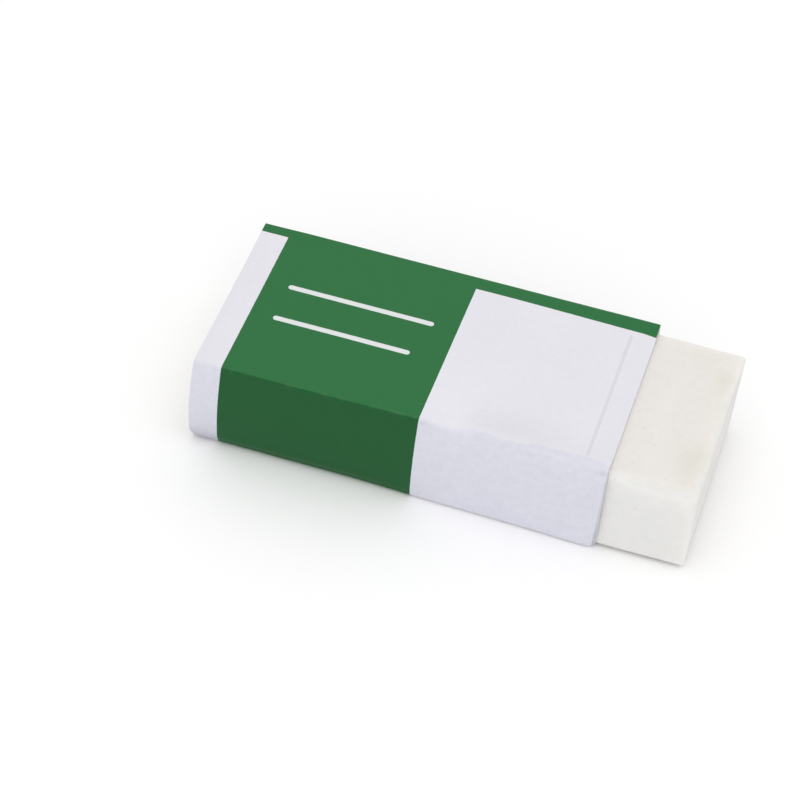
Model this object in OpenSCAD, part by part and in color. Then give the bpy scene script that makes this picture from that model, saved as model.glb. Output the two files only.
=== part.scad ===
// Plastic eraser: a white vinyl block that slides in a folded card sleeve.
// Millimetres. X runs along the block to its bare working end, Y to the back and Z up.
// The origin is under the middle of the whole eraser, on the surface that it lies on.

/* [Vinyl block] */
// Length of the block
block_length = 55; // [40:0.5:80]
// Width of the block
block_width = 22.9; // [14:0.1:32]
// Height of the block
block_height = 10.5; // [7:0.1:16]
// Radius of the block's rounded edges
block_edge_radius = 0.7; // [0.3:0.1:1.5]

/* [Card sleeve] */
// Length of the sleeve along the block
sleeve_length = 45; // [20:0.5:60]
// Thickness of the card
card_thickness = 0.3; // [0.2:0.05:0.5]
// Inside radius of the sharp folds: both upper edges and the lower back edge
crease_radius = 0.2; // [0.1:0.05:0.5]
// Inside radius of the softer fold on the lower front edge
soft_radius = 0.4; // [0.1:0.05:0.8]
// Angle by which the bowed front panel leans outwards where it meets its folds
front_lean = 14; // [2:1:20]
// Distance from the top of the sleeve down to the edge of the inner glue flap
flap_margin = 2; // [1:0.1:4]
// Height of the free edge of the outer back panel, where the sheet ends
seam_height = 1.4; // [1:0.1:3]

/* [Fit of the block in the sleeve] */
// Gap in front of the block and behind it
side_gap = 0.1; // [0.05:0.05:0.5]
// Gap under the block
lower_gap = 0.05; // [0.02:0.01:0.3]
// Gap over the block
upper_gap = 0.45; // [0.1:0.05:0.8]
// Length by which the block stands out of the sleeve at the end that is held
held_end_proud = 0.3; // [0:0.1:5]

/* [Hidden] */

// Outline points along a fold, and along the bowed front panel
fold_steps = 10;
bow_steps = 12;

// Hollow inside the folded card, measured to the chord of the bowed front panel
hollow_depth = block_width + 2 * side_gap;
hollow_height = lower_gap + block_height + upper_gap;
sleeve_height = hollow_height + 2 * card_thickness;

// The front panel is an arc that runs smoothly into the folds above and below it
front_chord = hollow_height - (soft_radius + crease_radius) * (1 - sin(front_lean));
front_radius = front_chord / (2 * sin(front_lean));
front_bow = front_radius * (1 - cos(front_lean));

// Layers of the sleeve from front to back. The back wall is two layers of card, glued together
front_chord_y = -(hollow_depth + card_thickness - front_bow) / 2;
flap_inner_y = front_chord_y + hollow_depth;
glue_y = flap_inner_y + card_thickness;
back_y = glue_y + card_thickness;

// Heights of the fold centres and of the glue flap's edge
crease_low_z = card_thickness + crease_radius;
crease_high_z = sleeve_height - card_thickness - crease_radius;
soft_z = card_thickness + soft_radius;
flap_edge_z = sleeve_height - flap_margin;

// Points of an arc about a centre, from one angle to another
function arc(centre, radius, from, to, steps) = [
    for (i = [0 : steps])
        let (angle = from + (to - from) * i / steps)
        centre + radius * [cos(angle), sin(angle)]
];

// Front wall seen along X, from the bottom up: soft fold, bowed panel and sharp fold.
// The layer is 0 on the inner face of the card and card_thickness on its outer face.
function front_wall(layer) =
    let (
        soft = [front_chord_y + soft_radius * cos(front_lean), soft_z],
        bow = [
            front_chord_y + front_radius * cos(front_lean),
            soft_z - soft_radius * sin(front_lean) + front_chord / 2
        ],
        crease = [front_chord_y + crease_radius * cos(front_lean), crease_high_z]
    )
    concat(
        arc(soft, soft_radius + layer, 270, 180 + front_lean, fold_steps),
        arc(bow, front_radius + layer, 180 + front_lean, 180 - front_lean, bow_steps),
        arc(crease, crease_radius + layer, 180 - front_lean, 90, fold_steps)
    );

// Closed outline of one face of the card. The back steps from one layer to the other at step_z
module card_outline(layer, step_z) {
    upper = [glue_y - crease_radius, crease_high_z];
    lower = [flap_inner_y - crease_radius, crease_low_z];
    polygon(concat(
        front_wall(layer),
        arc(upper, crease_radius + layer, 90, 0, fold_steps),
        [[glue_y + layer, step_z], [flap_inner_y + layer, step_z]],
        arc(lower, crease_radius + layer, 0, -90, fold_steps)
    ));
}

// One sheet of card, folded four times round the block and lapped on the back
module card_sleeve() {
    color([0.22, 0.45, 0.28])
        translate([held_end_proud - block_length / 2, 0, 0])
            rotate([90, 0, 90])
                linear_extrude(sleeve_length)
                    difference() {
                        card_outline(card_thickness, seam_height);
                        card_outline(0, flap_edge_z);
                    }
}

// Rectangle about the origin with true arcs at its corners
module rounded_rectangle(size, radius) {
    square([size[0] - 2 * radius, size[1]], center = true);
    square([size[0], size[1] - 2 * radius], center = true);
    for (side = [-1, 1], end = [-1, 1])
        translate([side * (size[0] / 2 - radius), end * (size[1] / 2 - radius)])
            circle(radius, $fn = 48);
}

// The vinyl block: a bar with all its edges rounded
module eraser_block() {
    middle = [
        0,
        front_chord_y + side_gap + block_width / 2,
        card_thickness + lower_gap + block_height / 2
    ];
    color([0.92, 0.91, 0.88])
        translate(middle)
            intersection() {
                rotate([90, 0, 90])
                    linear_extrude(block_length, center = true)
                        rounded_rectangle([block_width, block_height], block_edge_radius);
                rotate([90, 0, 0])
                    linear_extrude(block_width, center = true)
                        rounded_rectangle([block_length, block_height], block_edge_radius);
                linear_extrude(block_height, center = true)
                    rounded_rectangle([block_length, block_width], block_edge_radius);
            }
}

card_sleeve();
eraser_block();
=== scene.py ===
"""A sleeved vinyl eraser: the card sleeve, the block in it and a plain studio round them.

Lengths are in metres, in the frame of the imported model: X along the block to its bare working end,
Y to the back and Z up. The scale of a noise is the number of its cells in a metre.
"""
import math
from dataclasses import dataclass
from itertools import product

import bpy
from bpy.props import FloatProperty, FloatVectorProperty, IntProperty, PointerProperty
from mathutils import Matrix, Vector, noise


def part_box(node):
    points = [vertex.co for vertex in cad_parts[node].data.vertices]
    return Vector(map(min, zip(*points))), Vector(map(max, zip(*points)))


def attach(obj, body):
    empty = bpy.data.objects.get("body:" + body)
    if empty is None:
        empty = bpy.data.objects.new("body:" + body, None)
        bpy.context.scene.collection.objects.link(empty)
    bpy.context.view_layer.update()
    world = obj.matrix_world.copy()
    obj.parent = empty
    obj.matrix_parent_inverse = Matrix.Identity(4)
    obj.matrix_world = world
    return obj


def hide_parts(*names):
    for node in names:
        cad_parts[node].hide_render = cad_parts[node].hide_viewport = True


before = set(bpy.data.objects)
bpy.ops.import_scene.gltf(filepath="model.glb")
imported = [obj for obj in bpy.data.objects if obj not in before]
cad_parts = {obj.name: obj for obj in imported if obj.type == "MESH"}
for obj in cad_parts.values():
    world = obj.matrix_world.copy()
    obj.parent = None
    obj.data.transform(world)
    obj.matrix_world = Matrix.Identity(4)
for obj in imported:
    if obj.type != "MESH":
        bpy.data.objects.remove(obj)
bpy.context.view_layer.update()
SLEEVE_LOW, SLEEVE_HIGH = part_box("card_sleeve")
BLOCK_LOW, BLOCK_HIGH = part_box("eraser_block")
SLEEVE_LENGTH = SLEEVE_HIGH.x - SLEEVE_LOW.x
SLEEVE_HEIGHT = SLEEVE_HIGH.z - SLEEVE_LOW.z
BLOCK_HEIGHT = BLOCK_HIGH.z - BLOCK_LOW.z
BLOCK_MIDDLE = (BLOCK_LOW + BLOCK_HIGH) / 2

bl_info = {
    "name": "Sleeved eraser",
    "version": (1, 0, 0),
    "blender": (4, 5, 0),
    "location": "View3D > Sidebar > Eraser",
    "description": "Builds a vinyl eraser in its folded card sleeve",
    "category": "Object",
}

MM = 0.001
WHITE = (1.0, 1.0, 1.0)

# How far the forms of the sleeve's two ends reach along it, and where the wear near the mouth starts
HELD_REACH = 16 * MM
MOUTH_REACH = 16 * MM
WEAR_START = 26 * MM

# Half the width over which ink gives way to bare card
INK_BLUR = 0.02 * MM


def number(name, description, default, **kind):
    """A number that a user may change, with its unit, subtype or limits."""
    return FloatProperty(name=name, description=description, default=default, **kind)


def length(name, description, default):
    """A length that a user may change, in metres."""
    return number(name, description, default, unit="LENGTH", precision=5)


def angle(name, description, degrees):
    """An angle that a user may change."""
    return number(name, description, math.radians(degrees), subtype="ANGLE")


def location(name, description, default):
    """A point of the scene that a user may move."""
    return FloatVectorProperty(name=name, description=description, default=default, subtype="TRANSLATION")


def colour(name, description, default):
    """A scene-linear colour that a user may change."""
    return FloatVectorProperty(
        name=name, description=description, default=default, subtype="COLOR", size=3, min=0.0, max=1.0
    )


# Settings


class SleeveSettings(bpy.types.PropertyGroup):
    """Sizes of the folded card, its wear and its print."""

    thickness: length("Card thickness", "Thickness of the card", 0.3 * MM)
    crease_radius: length("Crease radius", "Inside radius of the sharp folds", 0.2 * MM)
    soft_radius: length("Soft fold radius", "Inside radius of the lower front fold", 0.4 * MM)
    lean: angle("Front lean", "Angle by which the bowed front panel leans out at its folds", 14)
    flap_margin: length("Flap margin", "From the top down to the edge of the glue flap", 2.0 * MM)
    glue_gap: length("Glue gap", "Hairline between the glue flap and the panel outside it", 0.03 * MM)
    seam_height: length("Seam height", "Height of the free edge of the outer back panel", 1.4 * MM)
    columns: IntProperty(name="Columns", description="Points along the sleeve", default=136, min=8)
    held_belly: length("Belly", "How much further the front panel bows at the held end", 0.36 * MM)
    flat_mouth: length("Flat mouth", "How much less the front panel bows at the mouth", 0.55 * MM)
    mouth_sag: length("Mouth sag", "How far the top panel sinks towards the block at the mouth", 0.42 * MM)
    mouth_press: number(
        "Mouth press",
        "Share of the room over the block that the card's edge closes at the mouth",
        0.97,
        min=0.0,
        max=1.0,
    )
    held_sag: length("Held sag", "How far the top panel sinks at the held end", 0.05 * MM)
    soft_fold: length("Soft fold", "How far the lower front fold is rubbed in at the held end", 0.21 * MM)
    mouth_flare: length("Mouth flare", "How far the front panel stands out at the mouth", 0.25 * MM)
    pressed_fold: length("Pressed fold", "How far the upper front fold is pressed in half way", 0.2 * MM)
    worn_fold: length("Worn fold", "How far the upper front fold is worn in near the mouth", 0.28 * MM)
    dent: length("Dent", "Depth of the shallow dent in the top panel", 0.16 * MM)
    mouth_curl: length("Mouth curl", "How far the front panel's cut edge curls in at the mouth", 0.32 * MM)
    back_flare: length("Back flare", "How far the back fold stands out at the mouth", 0.11 * MM)
    pinched_end: length("Pinched end", "How much thinner the card is at its cut ends", 0.16 * MM)
    wave: length("Wave", "Height of the slow waves in the card", 0.03 * MM)
    band_end: length("Band end", "Where the white band at the held end stops", 3.08 * MM)
    field_end: length("Field end", "Where the green field stops", 24.65 * MM)
    field_slant: number("Field slant", "Lean of the green field's end line, as a share of its length", 0.0035)
    strip_width: length("Strip width", "Width of the green strip along the back of the top panel", 1.9 * MM)
    band_strip: length("Band strip", "Width of the green strip behind the white band", 1.46 * MM)
    bar_start: length("Bar start", "Where the two printed bars start", 5.65 * MM)
    bar_height: length("Bar height", "Height of each printed bar", 0.68 * MM)
    long_bar_end: length("Long bar end", "Where the longer bar stops", 22.05 * MM)
    long_bar_place: length("Long bar place", "From the upper front fold to the longer bar", 14.4 * MM)
    short_bar_end: length("Short bar end", "Where the shorter bar stops", 20.9 * MM)
    short_bar_place: length("Short bar place", "From the upper front fold to the shorter bar", 9.2 * MM)
    rule_place: length("Rule place", "Where the thin grey rule crosses the top panel", 42.4 * MM)
    rule_width: length("Rule width", "Width of the thin grey rule", 0.35 * MM)
    rule_start: length("Rule start", "From the upper front fold to the start of the rule", 1.65 * MM)
    rule_end: length("Rule end", "From the upper front fold to the end of the rule", 20.95 * MM)
    white: colour("Card white", "Coated white of the card", (0.767, 0.753, 0.806))
    # Painted shade: the two narrow panels take this darker copy of the card white
    narrow_white_in_painted_shade: colour("Narrow white", "White of the two narrow panels", (0.70, 0.70, 0.783))
    green: colour("Print green", "Green of the wide panels", (0.019, 0.149, 0.042))
    # Painted shade: the two narrow panels take this darker copy of the print green
    green_in_painted_shade: colour("Deep green", "Green of the two narrow panels", (0.008, 0.094, 0.023))
    bar_white: colour("Bar white", "Off-white of the printed bars", (0.74, 0.76, 0.76))
    rule_grey: colour("Rule grey", "Grey of the thin rule", (0.60, 0.60, 0.66))
    raw: colour("Raw card", "Uncoated inside of the card", (0.76, 0.75, 0.735))
    core: colour("Core", "Inside of the card where it is cut", (0.90, 0.90, 0.92))


class BlockSettings(bpy.types.PropertyGroup):
    """Sizes and colours of the vinyl block."""

    edge_radius: length("Edge radius", "Radius of the block's edges", 0.45 * MM)
    used_radius: length("Used radius", "Radius of the edge that is worn by use", 1.25 * MM)
    held_radius: length("Held radius", "Radius of the front edges that the card presses on", 1.25 * MM)
    edge_wear: number("Edge wear", "Share by which the edge radius wanders", 0.3, min=0.0, max=0.6)
    saw_lean: length("Saw lean", "How far the top of the bare end stands out past its foot", 0.25 * MM)
    wave: length("Wave", "Height of the slow waves in the block's faces", 0.025 * MM)
    spacing: length("Spacing", "Distance between the points of the flat faces", 0.7 * MM)
    vinyl: colour("Vinyl", "Warm white of the block", (0.797, 0.792, 0.775))
    handled: colour("Handled", "Warmer white of the broad faces", (0.797, 0.77, 0.735))
    # Painted shade: the rounded edges take this white, darker than the vinyl, to tone down their highlight
    rubbed: colour("Rubbed", "White of the rubbed edges", (0.762, 0.757, 0.742))
    yellowed: colour("Yellowed", "Colour of the yellowed patches", (0.732, 0.712, 0.638))
    speck: colour("Speck", "Colour of the small specks", (0.52, 0.50, 0.46))


class StageSettings(bpy.types.PropertyGroup):
    """Camera and light."""

    lens: number("Lens", "Focal length", 132.34, unit="CAMERA")
    sensor: number("Sensor", "Width of the camera's sensor", 36.0, unit="CAMERA")
    distance: length("Distance", "From the camera to its target", 314.4 * MM)
    azimuth: angle("Azimuth", "Turn of the camera to the right", 12.63)
    elevation: angle("Elevation", "Height of the camera", 44.05)
    roll: angle("Roll", "Lean of the camera", 6.18)
    target: location("Target", "Point that the camera looks at", (-6.49 * MM, -3.55 * MM, 5.8 * MM))
    sky: number("Sky", "Strength of the even light", 0.86, min=0.0)
    key: number("Key", "Power of the large lamp", 0.5, min=0.0, unit="POWER")
    lamp_size: length("Lamp size", "Width of the large lamp", 0.5)
    lamp_place: location("Lamp place", "Where the large lamp hangs", (0.04, -0.13, 0.45))
    floor_reach: length("Floor reach", "Half the width of the floor", 3.0)
    floor_gap: length("Floor gap", "Hairline between the floor and the sleeve", 0.02 * MM)


# Nodes


class Field:
    """An output socket. Arithmetic on it adds Math nodes to its tree."""

    def __init__(self, maker, socket):
        self.maker = maker
        self.socket = socket

    def math(self, operation, *values):
        return self.maker.add("ShaderNodeMath", {"operation": operation}, dict(enumerate(values)))

    def __add__(self, other):
        return self.math("ADD", self, other)

    def __sub__(self, other):
        return self.math("SUBTRACT", self, other)

    def __rsub__(self, other):
        return self.math("SUBTRACT", other, self)

    def __mul__(self, other):
        return self.math("MULTIPLY", self, other)

    def __truediv__(self, other):
        return self.math("DIVIDE", self, other)

    def __neg__(self):
        return self.math("MULTIPLY", self, -1.0)

    def __abs__(self):
        return self.math("ABSOLUTE", self)

    __radd__ = __add__
    __rmul__ = __mul__

    def largest(self, other):
        return self.math("MAXIMUM", self, other)

    def smallest(self, other):
        return self.math("MINIMUM", self, other)

    def above(self, limit):
        """1 above a limit and 0 below it."""
        return self.math("GREATER_THAN", self, limit)

    def power(self, exponent):
        return self.math("POWER", self, exponent)

    def clamped(self):
        """Kept between 0 and 1."""
        return self.largest(0.0).smallest(1.0)

    def arched(self):
        """0 at 0 and at 1, and 1 half way between them."""
        return self * (1.0 - self) * 4.0

    def smooth(self, low, high):
        """0 below low, 1 above high and a smooth step between them."""
        return self.maker.add(
            "ShaderNodeMapRange",
            {"interpolation_type": "SMOOTHSTEP"},
            {"Value": self, "From Min": low, "From Max": high},
        )

    def past(self, edge, blur):
        """0 before an edge and 1 past it, blurred on both sides."""
        return self.smooth(edge - blur, edge + blur)

    def bell(self, centre, width):
        """1 at the centre, falling away to nothing about two widths from it."""
        share = (self - centre) / width
        return self.math("EXPONENT", -(share * share))

    def output(self, name):
        """Another output of the same node."""
        return Field(self.maker, self.socket.node.outputs[name])


class NodeMaker:
    """Adds nodes to one tree."""

    def __init__(self, tree):
        self.tree = tree

    def add(self, kind, settings=None, inputs=None, output=0):
        """Makes a node, sets it up, feeds its inputs and returns one of its outputs."""
        node = self.tree.nodes.new(kind)
        for name, value in (settings or {}).items():
            setattr(node, name, value)
        for key, value in (inputs or {}).items():
            self.feed(node.inputs[key], value)
        return Field(self, node.outputs[output]) if node.outputs else node

    def feed(self, socket, value):
        """Links a field to a socket, or sets the socket to a value. Colours are given as three numbers."""
        if isinstance(value, Field):
            self.tree.links.new(value.socket, socket)
        elif socket.type == "RGBA":
            socket.default_value = (*value, 1.0)
        else:
            socket.default_value = value

    def vector(self, x=0.0, y=0.0, z=0.0):
        return self.add("ShaderNodeCombineXYZ", inputs={"X": x, "Y": y, "Z": z})

    def split(self, vector):
        parts = self.add("ShaderNodeSeparateXYZ", inputs={"Vector": vector})
        return parts, parts.output("Y"), parts.output("Z")

    def noise(self, vector, scale, detail=2.0, roughness=0.5):
        """Noise about 0, from about -0.5 to 0.5."""
        inputs = {"Vector": vector, "Scale": scale, "Detail": detail, "Roughness": roughness}
        return self.add("ShaderNodeTexNoise", inputs=inputs) - 0.5

    def mix(self, share, first, second):
        """A colour between two colours."""
        settings = {"data_type": "RGBA", "clamp_factor": True}
        return self.add("ShaderNodeMix", settings, {0: share, 6: first, 7: second}, output=2)

    def shade(self, base, amount):
        """A colour made lighter or darker by a share of itself."""
        tint = self.vector(1.0 + amount, 1.0 + amount, 1.0 + amount)
        return self.add("ShaderNodeVectorMath", {"operation": "MULTIPLY"}, {0: base, 1: tint})

    def bump(self, height, distance):
        """A normal that leans with a height."""
        inputs = {"Strength": 0.35, "Distance": distance, "Height": height}
        return self.add("ShaderNodeBump", inputs=inputs)


def new_material(name):
    """An empty material and the maker of its nodes."""
    material = bpy.data.materials.new(name)
    material.use_nodes = True
    material.node_tree.nodes.clear()
    return material, NodeMaker(material.node_tree)


def finish_surface(make, constants, varying):
    """Ends a material in a Principled shader. Constants are set on its sockets, the rest is linked."""
    shader = make.add("ShaderNodeBsdfPrincipled", inputs={**constants, **varying})
    make.add("ShaderNodeOutputMaterial", inputs={"Surface": shader})


def add_object(scene, name, data):
    """A new object in the scene."""
    item = bpy.data.objects.new(name, data)
    scene.collection.objects.link(item)
    return item


# Card sleeve


class CardPath:
    """Walks along the middle of the card, seen from the mouth, and keeps each row that it passes."""

    def __init__(self, y, z, heading):
        self.y = y
        self.z = z
        self.heading = heading
        self.run = 0.0
        self.rows = []
        self.keep()

    def keep(self):
        """A row is its place, the direction out of the sleeve and the run of card up to it."""
        outward = (0.0, -math.sin(self.heading), math.cos(self.heading))
        self.rows.append(((0.0, self.y, self.z), outward, self.run))

    def move(self, distance, run):
        self.y += distance * math.cos(self.heading)
        self.z += distance * math.sin(self.heading)
        self.run += run

    def straight(self, distance, steps):
        """A flat panel, with its rows close together next to the folds."""
        shares = [(1 - math.cos(math.pi * step / steps)) / 2 for step in range(steps + 1)]
        for before, after in zip(shares, shares[1:]):
            self.move(distance * (after - before), distance * (after - before))
            self.keep()

    def bend(self, turned, radius, steps=8):
        """A turn to the right, as every fold of the sleeve is. Returns the run at its middle."""
        middle = self.run + radius * turned / 2
        turn = turned / steps
        for _ in range(steps):
            self.heading -= turn / 2
            self.move(2 * radius * math.sin(turn / 2), radius * turn)
            self.heading -= turn / 2
            self.keep()
        return middle


@dataclass
class Section:
    """The folded card seen along X. Runs are counted from the upper front fold."""

    rows: list
    front_height: float
    top_width: float


def folded_section(card):
    """Folds the sheet from the glue flap's edge round to the outer back panel's edge."""
    lean = card.lean
    half = card.thickness / 2
    square = math.pi / 2
    hollow_height = SLEEVE_HEIGHT - 2 * card.thickness
    front_chord = hollow_height - (card.soft_radius + card.crease_radius) * (1 - math.sin(lean))
    front_radius = front_chord / (2 * math.sin(lean))
    chord_y = SLEEVE_LOW.y + card.thickness + front_radius * (1 - math.cos(lean))
    glue_y = SLEEVE_HIGH.y - card.thickness
    flap_y = glue_y - card.thickness
    crease_z = card.thickness + card.crease_radius
    crease_radius = card.crease_radius + half
    bottom = flap_y - card.crease_radius - chord_y - card.soft_radius * math.cos(lean)
    top = glue_y - card.crease_radius - chord_y - card.crease_radius * math.cos(lean)

    path = CardPath(flap_y + half - card.glue_gap, SLEEVE_HEIGHT - card.flap_margin, -square)
    path.straight(SLEEVE_HEIGHT - card.flap_margin - crease_z, steps=10)
    path.bend(square, crease_radius)
    path.straight(bottom - card.glue_gap, steps=24)
    lower_front = path.bend(square - lean, card.soft_radius + half)
    path.bend(2 * lean, front_radius + half, steps=26)
    upper_front = path.bend(square - lean, crease_radius)
    path.straight(top, steps=36)
    upper_back = path.bend(square, crease_radius)
    path.straight(SLEEVE_HEIGHT - crease_z - card.seam_height, steps=14)
    rows = [(place, outward, run - upper_front) for place, outward, run in path.rows]
    return Section(rows, upper_front - lower_front, upper_back - upper_front)


def section_mesh(section):
    """The rows of the section as bare points that carry the outward direction and the run."""
    places, outwards, runs = zip(*section.rows)
    mesh = bpy.data.meshes.new("card_section")
    mesh.from_pydata(places, [], [])
    outward = mesh.attributes.new("outward", "FLOAT_VECTOR", "POINT")
    outward.data.foreach_set("vector", [value for direction in outwards for value in direction])
    around = mesh.attributes.new("around", "FLOAT", "POINT")
    around.data.foreach_set("value", runs)
    return mesh


SHEET_INPUTS = {
    "Section": "NodeSocketGeometry",
    "Columns": "NodeSocketInt",
    "Material": "NodeSocketMaterial",
    "Start": "NodeSocketFloat",
    "Length": "NodeSocketFloat",
    "Front height": "NodeSocketFloat",
    "Top width": "NodeSocketFloat",
    "Mouth press": "NodeSocketFloat",
}

# The other inputs of the folding nodes, and the settings of the card that they take
CARD_FORMS = {
    "Thickness": "thickness",
    "Belly": "held_belly",
    "Flat mouth": "flat_mouth",
    "Mouth sag": "mouth_sag",
    "Held sag": "held_sag",
    "Soft fold": "soft_fold",
    "Mouth flare": "mouth_flare",
    "Pressed fold": "pressed_fold",
    "Worn fold": "worn_fold",
    "Dent": "dent",
    "Mouth curl": "mouth_curl",
    "Back flare": "back_flare",
    "Pinched end": "pinched_end",
    "Wave": "wave",
}


def card_forms(given, along, around, flat_z):
    """How far the card leaves its plain folds: outwards, in Y and in Z."""
    make = given.maker
    form = given.output
    span = form("Length")
    above_fold = around + form("Front height")
    past_back = around - form("Top width")
    down = (-around / form("Front height")).clamped()
    across = (around / form("Top width")).clamped()

    # The front panel bows further out at the held end's lip, and is nearly flat at the mouth
    past_lip = along.smooth(0.0, 5 * MM)
    flat = past_lip * 0.45 + along.smooth(12 * MM, span) * 0.55
    belly = (form("Belly") * (1.0 - past_lip) - form("Flat mouth") * flat) * down.arched()

    # The lower front fold is rubbed in, less so towards the mouth
    rubbed = 1.0 - along.smooth(16 * MM, 30 * MM) * 0.75 - along.smooth(38 * MM, 43 * MM) * 0.25
    soft = form("Soft fold") * above_fold.bell(0.25 * MM, 0.75 * MM) * rubbed

    # Half way along, the upper front fold is pressed in, and at the mouth the front panel stands out
    pressed = form("Pressed fold") * along.bell(24 * MM, 9 * MM) * around.bell(0.0, 4.0 * MM)
    to_mouth = along.smooth(span - MOUTH_REACH, span)
    off_top = 1.0 - around.smooth(-0.5 * MM, 9.0 * MM)
    off_floor = above_fold.smooth(-9.0 * MM, 0.5 * MM)
    flare = form("Mouth flare") * to_mouth * off_top * off_floor

    # Near the mouth the upper front fold is worn in unevenly, with a dent behind it
    sway = make.noise(make.vector(along), 210.0, detail=1.0)
    near_mouth = along.smooth(WEAR_START, 32 * MM)
    worn = form("Worn fold") * around.bell(0.0, 0.9 * MM) * near_mouth * (0.9 + sway * 1.6)
    dent = form("Dent") * along.bell(36 * MM, 5.5 * MM) * around.bell(3.0 * MM, 1.8 * MM)

    # The top panel sags at both ends, and its cut edge lies close on the block at the mouth
    held = 1.0 - along.smooth(0.0, HELD_REACH)
    sag = (form("Mouth sag") * to_mouth + form("Held sag") * held) * across.arched().power(0.6)
    off_folds = across.smooth(0.0, 0.15) * (1.0 - across.smooth(0.85, 1.0))
    rim = along.smooth(span - 1.6 * MM, span) * off_folds
    sag = sag + (form("Mouth press") - sag).largest(0.0) * rim

    # The front panel's cut edge curls in at the mouth, half as far at its foot
    at_mouth = along.smooth(span - 1.2 * MM, span)
    curl = form("Mouth curl") * at_mouth * at_mouth * down * (1.0 - down.power(30.0) * 0.5)

    # The back fold stands out a little towards the mouth, and is pressed in at the held end
    spread = along.smooth(5 * MM, 50 * MM) + along.smooth(0.0, 6 * MM) * 0.9 - 0.9
    back = form("Back flare") * spread * past_back.bell(0.0, 2.0 * MM)

    # The bottom panel stays flat, the rest has slow waves
    drift = make.noise(make.vector(along, around), 85.0, detail=1.5)
    wave = form("Wave") * above_fold.smooth(0.5 * MM, 3.0 * MM) * drift * 2.0

    # Cutting presses the outer face down at both ends, except near the back fold
    cut = 0.7 * MM
    at_cut = along.smooth(span - cut, span).largest(1.0 - along.smooth(0.0, cut))
    before_back = 1.0 - past_back.smooth(-6.0 * MM, -2.0 * MM)
    outer_face = flat_z + 0.5
    pinch = form("Pinched end") * at_cut * before_back * outer_face

    outwards = flat_z * form("Thickness") + belly + wave - dent - sag - pinch
    return outwards, soft + worn + curl + pressed + back - flare, soft - worn


def fold_sheet_tree():
    """Geometry nodes that fold a flat sheet of card along the rows of a section."""
    tree = bpy.data.node_groups.new("Fold sheet", "GeometryNodeTree")
    for name, kind in SHEET_INPUTS.items():
        tree.interface.new_socket(name, in_out="INPUT", socket_type=kind)
    for name in CARD_FORMS:
        tree.interface.new_socket(name, in_out="INPUT", socket_type="NodeSocketFloat")
    tree.interface.new_socket("Sleeve", in_out="OUTPUT", socket_type="NodeSocketGeometry")
    make = NodeMaker(tree)
    given = make.add("NodeGroupInput")
    section = given.output("Section")

    # The flat sheet is a thin box with one row of points for each row of the section
    rows = make.add("GeometryNodeAttributeDomainSize", {"component": "MESH"}, {"Geometry": section})
    sheet = make.add(
        "GeometryNodeMeshCube",
        inputs={"Vertices X": given.output("Columns"), "Vertices Y": rows, "Vertices Z": 2},
    )
    position = make.add("GeometryNodeInputPosition")
    flat_x, flat_y, flat_z = make.split(position)
    row = make.add(
        "FunctionNodeFloatToInt",
        {"rounding_mode": "ROUND"},
        {"Float": (flat_y + 0.5) * (rows - 1.0)},
    )

    def from_section(kind, value):
        settings = {"data_type": kind, "domain": "POINT"}
        inputs = {"Geometry": section, "Value": value, "Index": row}
        return make.add("GeometryNodeSampleIndex", settings, inputs)

    def named(kind, name):
        return make.add("GeometryNodeInputNamedAttribute", {"data_type": kind}, {"Name": name})

    def store(geometry, kind, domain, name, value):
        settings = {"data_type": kind, "domain": domain}
        inputs = {"Geometry": geometry, "Name": name, "Value": value}
        return make.add("GeometryNodeStoreNamedAttribute", settings, inputs)

    _, place_y, place_z = make.split(from_section("FLOAT_VECTOR", position))
    _, out_y, out_z = make.split(from_section("FLOAT_VECTOR", named("FLOAT_VECTOR", "outward")))
    around = from_section("FLOAT", named("FLOAT", "around"))
    along = (flat_x + 0.5) * given.output("Length")
    outwards, shift_y, shift_z = card_forms(given, along, around, flat_z)
    folded = make.vector(
        given.output("Start") + along,
        place_y + out_y * outwards + shift_y,
        place_z + out_z * outwards + shift_z,
    )

    # What the print and the cut edges need is kept while the sheet is still flat
    _, _, flat_normal = make.split(make.add("GeometryNodeInputNormal"))
    corner = make.add("GeometryNodeInputMeshEdgeAngle").above(0.5)
    sheet = store(sheet, "FLOAT", "FACE", "side", flat_normal)
    sheet = store(sheet, "BOOLEAN", "EDGE", "sharp_edge", corner)
    sheet = store(sheet, "FLOAT_VECTOR", "POINT", "sheet", make.vector(along, around, flat_z))
    sheet = make.add("GeometryNodeSetPosition", inputs={"Geometry": sheet, "Position": folded})
    sheet = make.add("GeometryNodeRealizeInstances", inputs={"Geometry": sheet})
    finish = {"Geometry": sheet, "Material": given.output("Material")}
    sheet = make.add("GeometryNodeSetMaterial", inputs=finish)
    make.add("NodeGroupOutput", inputs={"Sleeve": sheet})
    return tree


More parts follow.
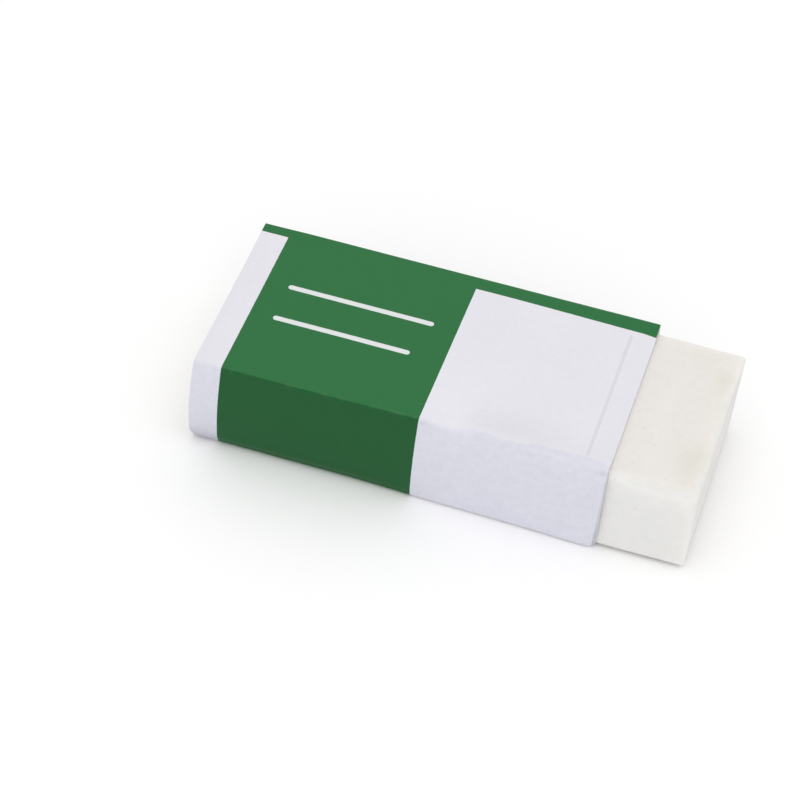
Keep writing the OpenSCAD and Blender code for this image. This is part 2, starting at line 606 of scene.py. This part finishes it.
class CardFinish:
    """Colours of the card's outer face, worked out on the flat sheet before it is folded."""

    def __init__(self, make, card, section):
        self.make = make
        self.card = card
        self.place = make.add("ShaderNodeTexCoord", output="Object")
        sheet = make.add("ShaderNodeAttribute", {"attribute_name": "sheet"}, output="Vector")
        self.along, self.around, _ = make.split(sheet)
        self.above_fold = self.around + section.front_height
        self.past_back = self.around - section.top_width
        self.down = (-self.around / section.front_height).clamped()

        # Ink edges wander by a few hundredths of a millimetre
        ragged = make.noise(self.place, 2500.0) * (0.05 * MM)
        self.print_x = self.along + ragged
        self.print_y = self.around + ragged
        self.print_back = self.past_back + ragged

    def green(self):
        """1 on the green field round the sleeve and on the green strip along its back."""
        card = self.card
        end_line = self.print_x - self.print_y * card.field_slant
        field = self.print_x.past(card.band_end, INK_BLUR) * (1.0 - end_line.past(card.field_end, INK_BLUR))
        past_band = self.along.smooth(card.band_end, card.field_end)
        width = card.band_strip + past_band * (card.strip_width - card.band_strip)
        return field.largest((self.print_back + width).past(0.0, INK_BLUR))

    def narrow_panels(self, blur, shift):
        """1 on the front panel and on the back panel. The shift starts the front one behind its fold."""
        front = self.above_fold.past(0.0, blur) * (1.0 - (self.around - shift).past(0.0, blur))
        return front.largest(self.past_back.past(0.0, blur))

    def ink(self):
        """Green ink, with painted shade on the narrow panels, which take a darker copy of it."""
        make = self.make
        base = make.mix(self.narrow_panels(0.04 * MM, 0.0), self.card.green, self.card.green_in_painted_shade)
        return make.shade(base, make.noise(self.place, 600.0, detail=3.0) * 0.10)

    def white(self):
        """White card, cloudy and with fine fibres, with painted light and shade on it."""
        make = self.make
        place = self.place
        along = self.along
        around = self.around

        # Painted shade lies on the narrow panels; near the mouth it starts along a wavy line behind the upper
        # front fold
        wander = make.noise(make.vector(along), 230.0, detail=1.0) * (2.2 * MM)
        wavy = 0.5 * MM + along.smooth(35 * MM, 41 * MM) * (0.9 * MM) + wander
        narrow = self.narrow_panels(0.3 * MM, wavy * along.smooth(WEAR_START, 31 * MM))
        cloud = make.noise(place, 130.0, detail=3.0) * 0.06
        blotch = make.noise(place, 1300.0, detail=3.0) * (0.05 + narrow * 0.09)
        fibre = make.noise(place, 4200.0) * 0.07
        white = make.mix(narrow, self.card.white, self.card.narrow_white_in_painted_shade)
        white = make.shade(white, cloud + blotch + fibre)

        # Painted light next to the green field, painted shade in the dent, and painted shade low on the front
        # at the held end
        painted_light = along.bell(27 * MM, 5 * MM) * around.bell(5.0 * MM, 6.0 * MM)
        dent = along.smooth(28 * MM, 31.5 * MM) * (1.0 - along.smooth(34 * MM, 44 * MM) * 0.6)
        dent = dent * around.bell(2.4 * MM, 2.5 * MM)
        held = 1.0 - along.smooth(0.0, HELD_REACH)
        held_foot_shade = self.above_fold.bell(0.0, 2.2 * MM) * held

        # Painted shade along the front panel's cut edge at the mouth, widest and darkest at its foot
        rim = (0.05 + self.down * 0.36) * MM
        mouth_edge_shade = (along + rim - SLEEVE_LENGTH).smooth(-0.04 * MM, 0.14 * MM) * narrow
        mouth_edge_shade = mouth_edge_shade * (0.15 + self.down.power(4.0) * 0.2)
        return make.shade(white, painted_light * 0.025 - dent * 0.05 - held_foot_shade * 0.29 - mouth_edge_shade)

    def bar(self, end, middle):
        """1 on a printed bar with round ends that runs along the sleeve."""
        reach = self.card.bar_height / 2
        before = self.card.bar_start + reach - self.print_x
        beyond = before.largest(self.print_x - (end - reach)).largest(0.0)
        off = self.print_y - middle
        gap = (beyond * beyond + off * off).power(0.5)
        return 1.0 - gap.past(reach, INK_BLUR)

    def rule(self):
        """1 on the thin rule across the top panel."""
        card = self.card
        off = abs(self.print_x - card.rule_place)
        line = 1.0 - off.past(card.rule_width / 2, 0.025 * MM)
        end_blur = 0.05 * MM
        started = self.around.past(card.rule_start, end_blur)
        return line * started * (1.0 - self.around.past(card.rule_end, end_blur))

    def rubbed(self, face, white, green):
        """The face with its folds rubbed: ink wears pale, and white card takes up a little grey."""
        make = self.make
        along = self.along
        folds = self.around.bell(0.0, 0.16 * MM).largest(self.above_fold.bell(0.0, 0.2 * MM))
        folds = folds.largest(self.past_back.bell(0.0, 0.16 * MM))
        patchy = folds * make.noise(self.place, 900.0, detail=3.0).smooth(-0.05, 0.3)
        face = make.mix(patchy * green * 0.03, face, white)
        face = make.shade(face, patchy * (1.0 - green) * -0.05)

        # Two smudges on the upper front fold, at the green field's end and at the mouth
        smudge = along.bell(25.1 * MM, 0.5 * MM).largest(along.bell(44.5 * MM, 0.4 * MM))
        smudge = smudge * self.around.bell(-0.2 * MM, 0.3 * MM) * (0.7 + make.noise(self.place, 2000.0))
        return make.shade(face, smudge * -0.13)


def printed_card(card, section):
    """Coated card with its print, raw inside and pale where it is cut."""
    material, make = new_material("printed_card")
    finish = CardFinish(make, card, section)
    place = finish.place
    side = make.add("ShaderNodeAttribute", {"attribute_name": "side"}, output="Fac")
    printed = side.smooth(0.6, 0.8)
    inside = 1.0 - side.smooth(-0.8, -0.6)

    green = finish.green()
    white = finish.white()
    face = make.mix(green, white, finish.ink())
    bars = finish.bar(card.long_bar_end, card.long_bar_place)
    bars = bars.largest(finish.bar(card.short_bar_end, card.short_bar_place))
    face = make.mix(bars, face, card.bar_white)
    face = make.mix(finish.rule() * 0.5, face, card.rule_grey)
    face = finish.rubbed(face, white, green)

    raw = make.shade(card.raw, make.noise(place, 1800.0, detail=4.0) * 0.16)
    core = make.shade(card.core, make.noise(place, 5200.0) * 0.25)
    base = make.mix(printed, core, face)
    base = make.mix(inside, base, raw)

    grain = make.noise(place, 3000.0, detail=3.0, roughness=0.6)
    roughness = 0.56 - green * printed * 0.1 + inside * 0.25 + grain * 0.12
    height = grain * (1.0 + inside) + make.noise(place, 700.0) * 1.4
    normal = make.bump(height, 0.012 * MM)
    finish_surface(
        make,
        {"Specular IOR Level": 0.2},
        {"Base Color": base, "Roughness": roughness, "Normal": normal},
    )
    return material


def plain_mesh(piece):
    """Turns a piece with modifiers into a plain mesh without them."""
    evaluated = piece.evaluated_get(bpy.context.evaluated_depsgraph_get())
    mesh = bpy.data.meshes.new_from_object(evaluated)
    if not mesh.polygons:
        raise RuntimeError(f"{piece.name} came out with no faces")
    piece.modifiers.clear()
    mesh.name = piece.name
    piece.data = mesh


class ERASER_OT_card_sleeve(bpy.types.Operator):
    """Folds the printed card sleeve round the block"""

    bl_idname = "eraser.card_sleeve"
    bl_label = "Card sleeve"

    def execute(self, context):
        card = context.scene.eraser_sleeve
        section = folded_section(card)
        sleeve = add_object(context.scene, "printed_sleeve", section_mesh(section))
        tree = fold_sheet_tree()
        room = SLEEVE_HIGH.z - card.thickness - BLOCK_HIGH.z
        values = {name: getattr(card, setting) for name, setting in CARD_FORMS.items()}
        values["Columns"] = card.columns
        values["Material"] = printed_card(card, section)
        values["Start"] = SLEEVE_LOW.x
        values["Length"] = SLEEVE_LENGTH
        values["Front height"] = section.front_height
        values["Top width"] = section.top_width
        values["Mouth press"] = card.mouth_press * room
        folding = sleeve.modifiers.new("Fold", "NODES")
        folding.node_group = tree
        for name, value in values.items():
            folding[tree.interface.items_tree[name].identifier] = value
        plain_mesh(sleeve)
        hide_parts("card_sleeve")
        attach(sleeve, "sleeve")
        return {"FINISHED"}


# Vinyl block


def graded_steps(low, high, radius, spacing):
    """Places from low to high, close together within the rounded edges."""
    edge_steps = 9
    insets = [radius * (step / edge_steps) ** 1.5 for step in range(edge_steps)]
    flat = high - low - 2 * radius
    middle_steps = max(2, round(flat / spacing))
    middle = [low + radius + flat * step / middle_steps for step in range(middle_steps + 1)]
    return [low + inset for inset in insets] + middle + [high - inset for inset in reversed(insets)]


def lattice_shell(steps):
    """Points and faces of the outside of a lattice, with the faces turned outwards."""
    counts = [len(axis) for axis in steps]
    index_of = {}
    points = []

    def index_at(place):
        if place not in index_of:
            index_of[place] = len(points)
            points.append(Vector(steps[axis][place[axis]] for axis in range(3)))
        return index_of[place]

    faces = []
    for axis in range(3):
        first, second = (axis + 1) % 3, (axis + 2) % 3
        for level, outward in ((0, False), (counts[axis] - 1, True)):
            for row, column in product(range(counts[first] - 1), range(counts[second] - 1)):
                corners = []
                for next_row, next_column in ((0, 0), (1, 0), (1, 1), (0, 1)):
                    place = [0, 0, 0]
                    place[axis] = level
                    place[first] = row + next_row
                    place[second] = column + next_column
                    corners.append(index_at(tuple(place)))
                faces.append(corners if outward else corners[::-1])
    return points, faces


def smooth_step(value, low, high):
    """0 below low, 1 above high and a smooth step between them."""
    share = max(0.0, min(1.0, (value - low) / (high - low)))
    return share * share * (3 - 2 * share)


def edge_radius_at(block, point):
    """Radius of the edges near a point. Front edges are rounder where the card or use has worn them."""
    bare = smooth_step(point.x, SLEEVE_HIGH.x - 2 * MM, SLEEVE_HIGH.x + 4 * MM)
    held = 1 - smooth_step(point.x, SLEEVE_HIGH.x - 12 * MM, SLEEVE_HIGH.x - 1 * MM)
    upper = smooth_step(point.z, BLOCK_MIDDLE.z, BLOCK_HIGH.z - 1 * MM)
    front = 1 - smooth_step(point.y, BLOCK_MIDDLE.y - 3 * MM, BLOCK_HIGH.y - 2 * MM)
    used_share = (block.used_radius - block.edge_radius) * bare * upper
    held_share = (block.held_radius - block.edge_radius) * held
    wander = max(-1.0, min(1.0, 1.6 * noise.noise(point / (6 * MM))))
    worn_radius = (block.edge_radius + used_share * front) * (1 + block.edge_wear * wander)
    return worn_radius + held_share * front


def rounded(point, low, high, radius):
    """A point of a box's outside, moved on to the box's rounded edges."""
    core = Vector(min(max(point[axis], low[axis] + radius), high[axis] - radius) for axis in range(3))
    outward = (point - core).normalized()
    return core + outward * radius, outward


def worn_point(block, point):
    """A point of the plain box, moved on to the worn block. Waves only dip into the box."""
    place, outward = rounded(point, BLOCK_LOW, BLOCK_HIGH, edge_radius_at(block, point))
    dip = block.wave * (noise.noise(point / (9 * MM) + Vector((7, 3, 5))) - 1.0)
    near_end = smooth_step(point.x, BLOCK_HIGH.x - 4 * MM, BLOCK_HIGH.x)
    lean = block.saw_lean * near_end * (point.z - BLOCK_MIDDLE.z) / BLOCK_HEIGHT
    return place + outward * dip + Vector((lean, 0, 0))


def white_vinyl(block):
    """Matte filled vinyl: cloudy, faintly yellowed in places, with a few specks."""
    material, make = new_material("white_vinyl")
    place = make.add("ShaderNodeTexCoord", output="Object")
    x, y, z = make.split(place)
    normal_x, normal_y, normal_z = make.split(make.add("ShaderNodeNewGeometry", output="Normal"))
    broad = abs(normal_z).smooth(0.5, 0.95)
    sawn = abs(normal_x).smooth(0.7, 0.95)
    flat = abs(normal_x).largest(abs(normal_y)).largest(abs(normal_z))
    cloud = make.noise(place, 160.0, detail=3.0) * 0.05 + make.noise(place, 1100.0, detail=3.0) * 0.07
    base = make.mix(broad + sawn * 0.8, block.vinyl, block.handled)
    # Painted shade on the rounded edges, which take the rubbed white
    base = make.mix(1.0 - flat.smooth(0.82, 1.0), base, block.rubbed)
    base = make.shade(base, cloud)

    # Painted light: the front face is a little lighter towards its upper edge
    front = (-normal_y).smooth(0.2, 0.9)
    painted_light = front * z.smooth(BLOCK_HIGH.z - 4.0 * MM, BLOCK_HIGH.z - 0.8 * MM)
    base = make.shade(base, painted_light * 0.025)

    # Two yellowed patches at the bare end's upper edge, and faint ones all over the broad faces
    end = BLOCK_HIGH.x
    wander = make.noise(place, 500.0, detail=3.0) * (2.5 * MM)
    patch = (x + wander).bell(end - 1.8 * MM, 1.4 * MM) * (y + wander).bell(-6.4 * MM, 2.6 * MM)
    second = (x + wander).bell(end - 1.2 * MM, 1.1 * MM) * (y - wander).bell(6.6 * MM, 1.6 * MM)
    upper = z.smooth(BLOCK_HIGH.z - 2.5 * MM, BLOCK_HIGH.z - 0.5 * MM)
    faint = make.noise(place, 240.0).smooth(0.0, 0.35) * broad * 0.35
    yellowed = (patch.largest(second) * upper * 0.8).largest(faint)
    base = make.mix(yellowed * 0.85, base, block.yellowed)

    # Some cells of a fine pattern hold a speck, and the broad faces have faint smears
    cells = make.add(
        "ShaderNodeTexVoronoi",
        {"voronoi_dimensions": "3D"},
        {"Vector": place, "Scale": 800.0},
        output="Distance",
    )
    chosen, _, _ = make.split(cells.output("Color"))
    size = 0.1 + chosen.smooth(0.6, 1.0) * 0.14
    speck = (1.0 - cells.smooth(size * 0.2, size)) * chosen.smooth(0.76, 0.78)
    smear = make.noise(place, 760.0).smooth(0.1, 0.28) * broad
    base = make.mix(speck * 0.22 + smear * 0.06, base, block.speck)

    # The ends are sawn: they have a coarse grain and faint upright streaks, and painted shade makes them a
    # tenth darker
    sawdust = make.noise(place, 3600.0, detail=3.0, roughness=0.7)
    streak = make.noise(make.vector(x * 2000.0, y * 4200.0, z * 260.0), 1.0, detail=3.0)
    base = make.shade(base, sawn * (streak * 0.04 + sawdust * 0.14 - 0.1))

    grain = make.noise(place, 2600.0, detail=3.0, roughness=0.6)
    roughness = 0.55 + grain * 0.14 + speck * 0.1
    saw_marks = sawn * (streak * 1.2 + sawdust * 2.5)
    height = grain + make.noise(place, 420.0) * 2.0 + saw_marks - speck * 0.6
    normal = make.bump(height, 0.02 * MM)
    finish_surface(
        make,
        {
            "Specular IOR Level": 0.25,
            "Subsurface Weight": 0.7,
            "Subsurface Radius": (1.0, 0.95, 0.88),
            "Subsurface Scale": 1.6 * MM,
        },
        {"Base Color": base, "Roughness": roughness, "Normal": normal},
    )
    return material


class ERASER_OT_vinyl_block(bpy.types.Operator):
    """Makes the vinyl block, with softly worn edges"""

    bl_idname = "eraser.vinyl_block"
    bl_label = "Vinyl block"

    def execute(self, context):
        block = context.scene.eraser_block
        widest = max(block.used_radius, block.held_radius) * (1 + block.edge_wear)
        steps = [
            graded_steps(BLOCK_LOW[axis], BLOCK_HIGH[axis], widest, block.spacing) for axis in range(3)
        ]
        points, faces = lattice_shell(steps)
        mesh = bpy.data.meshes.new("vinyl_block")
        mesh.from_pydata([worn_point(block, point) for point in points], [], faces)
        mesh.shade_smooth()
        mesh.materials.append(white_vinyl(block))
        piece = add_object(context.scene, "vinyl_block", mesh)
        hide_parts("eraser_block")
        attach(piece, "block")
        return {"FINISHED"}


# Stage


def pale_floor():
    """Plain white floor."""
    material, make = new_material("pale_floor")
    finish_surface(make, {"Base Color": WHITE, "Roughness": 1.0, "Specular IOR Level": 0.0}, {})
    return material


def even_sky(strength):
    """Even light from all round, which the camera and reflections see as plain white."""
    world = bpy.data.worlds.new("even_sky")
    world.use_nodes = True
    world.node_tree.nodes.clear()
    make = NodeMaker(world.node_tree)
    ray = make.add("ShaderNodeLightPath", output="Is Camera Ray")
    shown = ray.largest(ray.output("Is Glossy Ray")).largest(ray.output("Is Transmission Ray"))
    lit = make.add("ShaderNodeBackground", inputs={"Color": WHITE, "Strength": strength})
    seen = make.add("ShaderNodeBackground", inputs={"Color": WHITE, "Strength": 1.0})
    sky = make.add("ShaderNodeMixShader", inputs={0: shown, 1: lit, 2: seen})
    make.add("ShaderNodeOutputWorld", inputs={"Surface": sky})
    return world


def lay_floor(scene, stage):
    """Lays a wide floor just under the sleeve."""
    corners = []
    for side_x, side_y in ((-1, -1), (1, -1), (1, 1), (-1, 1)):
        corners.append((side_x * stage.floor_reach, side_y * stage.floor_reach, -stage.floor_gap))
    mesh = bpy.data.meshes.new("floor")
    mesh.from_pydata(corners, [], [(0, 1, 2, 3)])
    mesh.materials.append(pale_floor())
    add_object(scene, "floor", mesh)


def hang_lamp(scene, stage):
    """Hangs one large soft lamp, turned to the middle of the scene."""
    lamp = bpy.data.lights.new("large_lamp", "AREA")
    lamp.shape = "DISK"
    lamp.size = stage.lamp_size
    lamp.energy = stage.key
    holder = add_object(scene, "large_lamp", lamp)
    holder.location = stage.lamp_place
    holder.rotation_euler = (-Vector(stage.lamp_place)).to_track_quat("-Z", "Y").to_euler()


def set_camera(scene, stage):
    """Puts the camera at its distance from the target, and rolls it."""
    lens = bpy.data.cameras.new("camera")
    lens.lens = stage.lens
    lens.sensor_width = stage.sensor
    camera = add_object(scene, "camera", lens)
    away = Vector((
        math.sin(stage.azimuth) * math.cos(stage.elevation),
        -math.cos(stage.azimuth) * math.cos(stage.elevation),
        math.sin(stage.elevation),
    ))
    upright = away.to_track_quat("Z", "Y").to_matrix().to_4x4()
    rolled = upright @ Matrix.Rotation(stage.roll, 4, "Z")
    camera.matrix_world = Matrix.Translation(Vector(stage.target) + away * stage.distance) @ rolled
    scene.camera = camera


class ERASER_OT_stage(bpy.types.Operator):
    """Sets up the floor, the light and the camera"""

    bl_idname = "eraser.stage"
    bl_label = "Studio"

    def execute(self, context):
        scene = context.scene
        stage = scene.eraser_stage
        scene.view_settings.view_transform = "Standard"
        scene.world = even_sky(stage.sky)
        lay_floor(scene, stage)
        hang_lamp(scene, stage)
        set_camera(scene, stage)
        return {"FINISHED"}


# Sidebar


class ERASER_PT_pieces(bpy.types.Panel):
    """Lists the pieces of the eraser"""

    bl_idname = "ERASER_PT_pieces"
    bl_label = "Sleeved eraser"
    bl_space_type = "VIEW_3D"
    bl_region_type = "UI"
    bl_category = "Eraser"

    def draw(self, context):
        scene = context.scene
        for operator in (ERASER_OT_stage, ERASER_OT_card_sleeve, ERASER_OT_vinyl_block):
            self.layout.operator(operator.bl_idname)
        for settings in (scene.eraser_sleeve, scene.eraser_block, scene.eraser_stage):
            box = self.layout.box()
            for name in settings.__annotations__:
                box.prop(settings, name)


CLASSES = (
    SleeveSettings,
    BlockSettings,
    StageSettings,
    ERASER_OT_card_sleeve,
    ERASER_OT_vinyl_block,
    ERASER_OT_stage,
    ERASER_PT_pieces,
)


def register():
    for item in CLASSES:
        bpy.utils.register_class(item)
    bpy.types.Scene.eraser_sleeve = PointerProperty(type=SleeveSettings)
    bpy.types.Scene.eraser_block = PointerProperty(type=BlockSettings)
    bpy.types.Scene.eraser_stage = PointerProperty(type=StageSettings)


def unregister():
    del bpy.types.Scene.eraser_stage
    del bpy.types.Scene.eraser_block
    del bpy.types.Scene.eraser_sleeve
    for item in reversed(CLASSES):
        bpy.utils.unregister_class(item)


def main():
    register()
    bpy.ops.eraser.stage()
    bpy.ops.eraser.card_sleeve()
    bpy.ops.eraser.vinyl_block()


if __name__ == "__main__":
    main()
